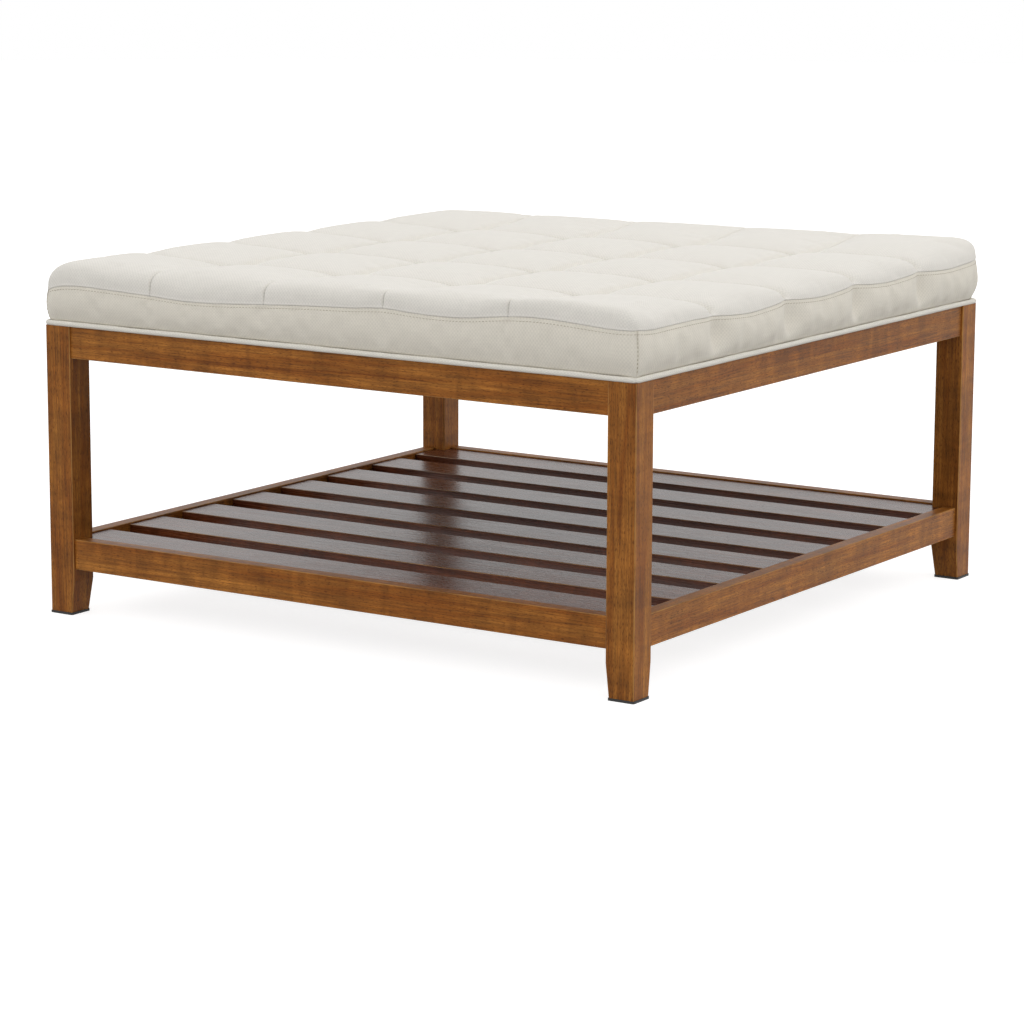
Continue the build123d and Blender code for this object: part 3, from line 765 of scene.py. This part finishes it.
def inflate(path, levels):
    """Blow up the cover as cloth, held at its seams, and give how far the top and bands moved."""
    count = len(path)
    top = top_surface(path)
    points = [top.reshape(-1, 3)]
    faces = grid_faces(count, count)
    sewn = np.abs(path[:, None] - seam_paths).min(axis=1) < seam_tolerance
    sewn[[0, -1]] = True
    held = [np.flatnonzero(sewn[:, None] | sewn[None, :])]
    starts = {}
    total = count * count
    for side in sides:
        starts[side] = total
        points.append(band_surface(border_of(top, side), path, side, levels).reshape(-1, 3))
        quads = grid_faces(len(levels), count, total)
        faces += [quad[::-1] for quad in quads] if side in reversed_sides else quads
        held.append(total + grid_rim(len(levels), count))
        total += len(levels) * count
    points = np.concatenate(points)
    mesh = bpy.data.meshes.new("cover_to_inflate")
    mesh.from_pydata([tuple(point) for point in points], [], faces)
    mesh.update()
    cover = bpy.data.objects.new("cover_to_inflate", mesh)
    scene = bpy.context.scene
    scene.collection.objects.link(cover)
    cover.vertex_groups.new(name="held").add(np.concatenate(held).tolist(), 1.0, "REPLACE")
    cloth = cover.modifiers.new("inflate", "CLOTH")
    cloth.settings.vertex_group_mass = "held"
    cloth.settings.use_pressure = True
    cloth.settings.uniform_pressure_force = pressure
    cloth.settings.shrink_min = -spare_cloth
    cloth.settings.bending_stiffness = cloth_bending
    cloth.settings.quality = cloth_quality
    cloth.settings.effector_weights.gravity = 0
    cloth.point_cache.frame_start = 1
    cloth.point_cache.frame_end = inflate_frames
    for number in range(1, inflate_frames + 1):
        scene.frame_set(number)
    shown = cover.evaluated_get(bpy.context.evaluated_depsgraph_get()).to_mesh()
    moved = np.empty(len(points) * 3, np.float32)
    shown.vertices.foreach_get("co", moved)
    change = moved.reshape(-1, 3) - points
    reach = np.linalg.norm(change, axis=1, keepdims=True)
    change *= np.minimum(1, most_swell / np.maximum(reach, tiny))
    bpy.data.objects.remove(cover)
    scene.frame_set(1)
    moves = {"top": change[:count * count].reshape(count, count, 3)}
    for side, start in starts.items():
        moves[side] = change[start:start + len(levels) * count].reshape(len(levels), count, 3)
    return moves


def sewn_top(path, moves, coarse):
    """The finished surface of the top: puffed, creased at its seams and beaded at the border."""
    grid = top_surface(path)
    edge = border_distance(path)
    away = np.minimum(edge[:, None], edge[None, :])
    if moves:
        weights = spline_matrix(coarse, path)
        swell = np.einsum("ia,abk,jb->ijk", weights, moves["top"], weights)
        calm = roll_swell + (1 - roll_swell) * np.clip(away / roll_path, 0, 1)
        grid += swell * calm[..., None]
    gap = np.abs(path[:, None] - seam_paths).min(axis=1)
    places = plan_place(path, "y")
    across = pinch_across_depth * bell(gap, pinch_across_reach)[None, :]
    across = across * seam_fade(places, "front", "back")[:, None] ** 2
    along = pinch_along_depth * bell(gap, pinch_along_reach)[:, None]
    along = along * seam_fade(places, "left", "right")[None, :] ** 2
    crease = seam_depth * bell(gap, seam_reach)
    depth = np.maximum(across, along) * eased(np.clip(away / pinch_start, 0, 1))
    depth += np.maximum(crease[:, None], crease[None, :])
    groove = border_groove * bell(edge, border_bead_reach)
    rim = border_bead * bell(edge - border_bead_place, border_bead_reach) - groove
    lift = np.minimum(rim[:, None], 0) + np.minimum(rim[None, :], 0)
    lift = np.maximum(lift, -border_groove) + np.maximum(np.maximum(rim[:, None], rim[None, :]), 0)
    depth *= np.clip(away / crease_start, 0, 1)
    sewn = grid + grid_normals(grid) * (lift - depth)[..., None]
    over_ties = np.maximum(sewn[..., 2], border_level + tie_top)
    sewn[..., 2] = np.where(away > roll_path, over_ties, sewn[..., 2])
    return sewn


def closed_top(grid, path):
    """Points, faces and cloth places of the top pad, with a lip turned in at its border and a flat base."""
    ring = grid_rim(*grid.shape[:2])
    walls = []
    for wall in (board_half + lip_gap, board_half - base_inset):
        inner = grid.reshape(-1, 3)[ring]
        inner[:, :2] = np.clip(inner[:, :2], -wall, wall)
        walls.append(inner)
    walls[-1][:, 2] = border_level + base_gap
    points, faces = closed_pad(grid, walls, border_level + base_gap)
    laid = np.stack(np.meshgrid(path, path), axis=-1).reshape(-1, 2)
    return points, faces, np.concatenate([laid, laid[ring], laid[ring], [[cloth_half, cloth_half]]])


def closed_band(grid, side, path):
    """Points, faces and cloth places of a side band, with a flat face by the board and foam."""
    wall = board_half + band_inner_gap
    inner = grid.copy()
    for part, facing in enumerate(sides[side]):
        inner[..., part] = facing * wall if facing else np.clip(inner[..., part], -wall, wall)
    points, faces = closed_sheet(grid, inner)
    if side in reversed_sides:
        faces = [face[::-1] for face in faces]
    laid = np.stack(np.meshgrid(path, band_levels * (border_level - band_foot)), axis=-1).reshape(-1, 2)
    return points, faces, np.concatenate([laid, laid])


def make_cover():
    """The cushion's cover: the tufted top pad and four side bands."""
    coarse = cloth_stations(coarse_step)
    moves = inflate(coarse, coarse_levels)
    path = cloth_stations(fine_step, seam_lines, border_lines)
    grid = sewn_top(path, moves, coarse)
    points, faces, laid = closed_top(grid, path)
    cloth = linen_weave("linen_weave_top_with_painted_seam_shade", "EBE7DF", sewn=True)
    top = make_piece("cushion_top", points, faces, cloth, laid)
    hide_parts("top_panel")
    bands = {}
    # The bands are the same cloth as the top, painted a shade darker and warmer as painted shade for their
    # upright sides
    cloth = linen_weave("linen_weave_bands_painted_shade", "E8E2D5")
    for side in sides:
        band = band_surface(border_of(grid, side), path, side, band_levels)
        if moves:
            along = spline_matrix(coarse, path)
            down = spline_matrix(coarse_levels, band_levels)
            band += np.einsum("ia,abk,jb->ijk", down, moves[side], along)
        bands[side] = band
        points, faces, laid = closed_band(band, side, path)
        piece = make_piece(f"cushion_band_{side}", points, faces, cloth, laid)
        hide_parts(f"side_band_{side}")
    return path, bands


def read_along(walked, values, places):
    """Values given at distances walked along a line, read at places between them."""
    return np.stack([np.interp(places, walked, part) for part in values.T], axis=-1)


def stitch_row(line, normals):
    """Points and faces of a row of stitches: short threads that rise from the cloth and go back in."""
    walked = np.concatenate([[0], np.cumsum(np.linalg.norm(np.diff(line, axis=0), axis=1))])
    starts = np.arange(stitch_pitch, walked[-1] - stitch_pitch, stitch_pitch)
    rings = []
    for share, rise, thick in stitch_shares:
        place = starts + (share - 0.5) * stitch_length
        centre = read_along(walked, line, place)
        ahead = unit(read_along(walked, line, place + stitch_look_ahead) - centre)
        up = unit(read_along(walked, normals, place))
        side = np.cross(ahead, up)
        centre = centre + up * rise * stitch_thickness
        for turn in range(stitch_sides):
            angle = 2 * math.pi * turn / stitch_sides
            offset = up * math.cos(angle) + side * math.sin(angle)
            rings.append(centre + offset * thick * stitch_thickness / 2)
    here = np.arange(len(rings)).reshape(-1, stitch_sides)
    there = np.roll(here, -1, axis=1)
    stitch = np.stack([here[:-1], there[:-1], there[1:], here[1:]], axis=-1).reshape(-1, 4).tolist()
    stitch += [here[0, ::-1].tolist(), here[-1].tolist()]
    points = np.stack(rings, axis=1).reshape(-1, 3)
    starts = range(0, len(points), len(rings))
    return points, [tuple(first + corner for corner in face) for first in starts for face in stitch]


def at_level(band, level):
    """A line along a band grid at a share of its height."""
    upper = np.searchsorted(band_levels, level) - 1
    share = (level - band_levels[upper]) / (band_levels[upper + 1] - band_levels[upper])
    return band[upper] * (1 - share) + band[upper + 1] * share


def make_stitches(path, bands):
    """Topstitching: a row under the border seam, and one each side of the corner seams."""
    level = stitch_drop / (border_level - band_foot)
    columns = np.searchsorted(path, (corner_stitch_gap, 2 * cloth_half - corner_stitch_gap))
    rows = []
    for side, band in bands.items():
        normals = grid_normals(band)
        facing = np.sign((normals[facing_row] * outward(path, side)).sum(axis=-1))
        normals = normals * facing[None, :, None]
        rows.append(stitch_row(at_level(band, level), at_level(normals, level)))
        rows += [stitch_row(band[:, column], normals[:, column]) for column in columns]
    faces = []
    total = 0
    for row_points, row_faces in rows:
        faces += [tuple(total + corner for corner in face) for face in row_faces]
        total += len(row_points)
    # Bonded thread is a shade darker than the cloth, smooth and a little shiny
    thread = fine_grained("bonded_polyester_thread", "B4AA96", 0.6, 0.5 * MM, 0.15)
    points = np.concatenate([row_points for row_points, _ in rows])
    make_piece("cover_stitching", points, faces, thread)


def soft_noise(place, seed):
    """A smooth irregular wave from -1 to 1 along the welt."""
    total = sum(
        math.sin(2 * math.pi * place / (length * MM) + phase * (seed + 1)) * length
        for length, phase in welt_noise_waves
    )
    return total / sum(length for length, _ in welt_noise_waves)


def welt_profile():
    """Section of the welt: distances out from the cord's outer side, and up from the frame."""
    cord = []
    start, end = welt_arc
    for step in range(welt_arc_steps + 1):
        angle = math.radians(start + (end - start) * step / welt_arc_steps)
        out, up = welt_radius * math.cos(angle), welt_radius * math.sin(angle)
        cord.append((-welt_radius + out, welt_radius + up))
    neck = (-welt_radius * welt_neck_share, flange_thickness)
    return [(-flange_reach, 0), *cord, neck, (-flange_reach, flange_thickness)]


def welt_stations(core):
    """Places round a square of half width core, with outward directions, and if they are on a corner."""
    straight = np.linspace(-core, core, round(2 * core / welt_step) + 1)[:-1]
    stations = []
    for side_x, side_y in sides.values():
        along_x, along_y = -side_y, side_x
        stations += [(along_x * place, along_y * place, side_x, side_y, False) for place in straight]
        corner_x, corner_y = (side_x + along_x) * core, (side_y + along_y) * core
        for step in range(welt_corner_steps):
            angle = math.atan2(side_y, side_x) + math.pi / 2 * step / welt_corner_steps
            stations.append((corner_x, corner_y, math.cos(angle), math.sin(angle), True))
    return stations


def make_welt():
    """Welt: a cord in a fabric strip all round the foot of the cushion, with its stapling flange."""
    profile = welt_profile()
    reach = welt_half + welt_proud
    core = reach - welt_corner_radius
    stations = welt_stations(core)
    points = []
    laid = []
    walked = 0
    for core_x, core_y, out_x, out_y, turned in stations:
        walked += welt_step / welt_corner_steps if turned else welt_step
        bulge = welt_wave * soft_noise(walked, 1)
        lift = 1 + welt_lift_share * (1 + soft_noise(walked, 2)) / 2
        for offset, level in profile:
            limit = reach + offset
            grown = bulge if offset > -welt_radius * welt_bulge_share else 0
            push = welt_corner_radius + offset + grown
            if not turned:
                x = core_x + out_x * (core + push) if out_x else max(-limit, min(limit, core_x))
                y = core_y + out_y * (core + push) if out_y else max(-limit, min(limit, core_y))
            elif welt_corner_radius + offset < 0:
                x, y = math.copysign(limit, core_x), math.copysign(limit, core_y)
            else:
                x, y = core_x + out_x * push, core_y + out_y * push
            points.append((x, y, frame_top + (level * lift if level > flange_thickness else level)))
            laid.append((walked, level * welt_wrap_share + offset))
    here = np.arange(len(points)).reshape(-1, len(profile))
    after = np.roll(here, -1, axis=0)
    quads = np.stack([here, after, np.roll(after, -1, axis=1), np.roll(here, -1, axis=1)], axis=-1)
    faces = quads.reshape(-1, 4).tolist()
    cloth = linen_weave("linen_weave_welt", "EAE6DC")
    welt = make_piece("welt_cord", points, faces, cloth, laid)
    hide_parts("welt")


def make_foam():
    """Foam block under the cover: crowned, with rounded edges, and drawn down round each tie."""
    reach = board_half - foam_edge_gap
    places = np.linspace(-reach + foam_edge, reach - foam_edge, foam_cells + 1)
    x, y = np.meshgrid(places, places)
    z = np.full_like(x, border_level - foam_top_gap) - foam_crown * ((x / reach) ** 2 + (y / reach) ** 2) / 2
    for away in tie_distances(x, y):
        z -= foam_dimple * bell(away, foam_dimple_reach)
    grid = np.stack([x, y, z], axis=-1)
    outline = grid.reshape(-1, 3)[grid_rim(*x.shape)]
    rings = [(inset, outline[:, 2] - drop * foam_edge) for inset, drop in foam_upper_shares]
    rings += [(inset, board_top + rise * foam_edge) for inset, rise in foam_lower_shares]
    walls = []
    for inset, level in rings:
        wall = outline.copy()
        wall[:, :2] *= (reach - inset * foam_edge) / (reach - foam_edge)
        wall[:, 2] = level
        walls.append(wall)
    points, faces = closed_pad(grid, walls, board_top)
    # Open-cell foam is cream and quite dull, with fine open pores
    cells = fine_grained("open_cell_polyurethane_foam", "E6DFC8", 0.95, 1.4 * MM, 0.1, depth=0.4 * MM)
    foam = make_piece("foam_block", points, faces, cells)
    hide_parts("foam_pad")


def make_dust_cover():
    """Dust cover: spunbond cloth stretched under the board, with a folded hem and a slight sag."""
    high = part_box("dust_cover")[1]
    reach = high.x
    hem = reach - hem_width
    inner = np.linspace(-hem, hem, dust_cells + 1)
    places = np.concatenate([[-reach, -hem - hem_slope], inner, [hem + hem_slope, reach]])
    x, y = np.meshgrid(places, places)
    inside = np.minimum(reach - np.abs(x), reach - np.abs(y))
    sag = dust_sag * (1 - (x / reach) ** 2) * (1 - (y / reach) ** 2)
    ripple = dust_ripple * np.sin(x / dust_ripple_reaches[0]) * np.sin(y / dust_ripple_reaches[1])
    top = high.z - sag + (ripple - hem_drop) * (inside > hem_width)
    thick = np.where(inside > hem_width - hem_slope / 2, dust_thickness, 2 * dust_thickness)
    points, faces = closed_sheet(np.stack([x, y, top], axis=-1), np.stack([x, y, top - thick], axis=-1))
    # Spunbond is black and dull, with a pressed pattern of small spots
    cloth = fine_grained("spunbond_polypropylene", "232325", 0.85, 0.9 * MM, 0.35, depth=0.2 * MM)
    cover = make_piece("dust_cover_cloth", points, faces, cloth)
    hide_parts("dust_cover")


def set_camera():
    """The photograph's view."""
    camera = bpy.data.objects.new("camera", bpy.data.cameras.new("camera"))
    camera.data.lens = camera_lens
    turn = Matrix.Rotation(math.radians(camera_turn), 4, "Z")
    dip = Matrix.Rotation(math.radians(90 - camera_dip), 4, "X")
    roll = Matrix.Rotation(math.radians(camera_roll), 4, "Z")
    camera.matrix_world = Matrix.Translation(camera_place) @ turn @ dip @ roll
    bpy.context.scene.collection.objects.link(camera)
    bpy.context.scene.camera = camera


def seen_rays(owner):
    """1 for rays from the camera, off a glossy surface or through a clear one, and 0 for others."""
    rays = add_node(owner, "LightPath")
    seen = add_node(owner, "Math", (rays["Is Camera Ray"], rays["Is Glossy Ray"]), operation="MAXIMUM")[0]
    return add_node(owner, "Math", (seen, rays["Is Transmission Ray"]), operation="MAXIMUM")[0]


def pale_floor():
    """A matt white floor that shows white to the camera and in gloss, and keeps a faint shadow."""
    material, shader = new_material("pale_floor")
    set_inputs(shader, {"Base Color": to_linear(floor_colour), "Roughness": 1.0, "Specular IOR Level": 0.0})
    strength = add_node(material, "Math", (seen_rays(material), floor_glow), operation="MULTIPLY")[0]
    glow = add_node(material, "Emission", (white, strength))[0]
    both = add_node(material, "AddShader", (shader.outputs[0], glow))[0]
    set_inputs(material.node_tree.nodes["Material Output"], {"Surface": both})
    bpy.ops.mesh.primitive_circle_add(vertices=floor_sides, radius=floor_radius, fill_type="NGON")
    floor = bpy.context.object
    floor.name = "floor"
    floor.data.materials.append(material)


def pale_world():
    """Studio surroundings: white where they are seen; as light, a soft ring all round, above the table."""
    world = bpy.data.worlds.new("studio")
    bpy.context.scene.world = world
    world.use_nodes = True
    direction = add_node(world, "TexCoord")["Generated"]
    height = add_node(world, "SeparateXYZ", (direction,))[2]
    above = add_node(world, "MapRange", (height, *ring_foot), interpolation_type="SMOOTHSTEP")[0]
    below = add_node(world, "MapRange", (height, *ring_top), interpolation_type="SMOOTHSTEP")[0]
    ring = add_node(world, "Math", (above, below), operation="MULTIPLY")[0]
    light = add_node(world, "MapRange", {0: ring, 3: world_light, 4: world_light + ring_light})[0]
    strength = add_node(world, "MapRange", {0: seen_rays(world), 3: light, 4: 1.0})[0]
    set_inputs(world.node_tree.nodes["Background"], {"Color": white, "Strength": strength})


def soft_lamp(name, place, size, power):
    """A square soft box that looks at the middle of the table."""
    light = bpy.data.lights.new(name, "AREA")
    light.size = size
    light.energy = power
    lamp = bpy.data.objects.new(name, light)
    lamp.location = place
    aim = Vector(lamp_aim) - Vector(place)
    lamp.rotation_euler = aim.to_track_quat("-Z", "Y").to_euler()
    lamp.visible_glossy = False
    lamp.visible_camera = False
    bpy.context.scene.collection.objects.link(lamp)


bpy.context.scene.view_settings.view_transform = "Standard"
set_camera()
pale_floor()
pale_world()
for lamp, (lamp_place, lamp_size, lamp_power) in lamps.items():
    soft_lamp(lamp, lamp_place, lamp_size, lamp_power)
dress_frame()
cover_path, cover_bands = make_cover()
make_stitches(cover_path, cover_bands)
make_welt()
make_foam()
make_dust_cover()

bpy.context.view_layer.update()
bpy.context.view_layer.update()
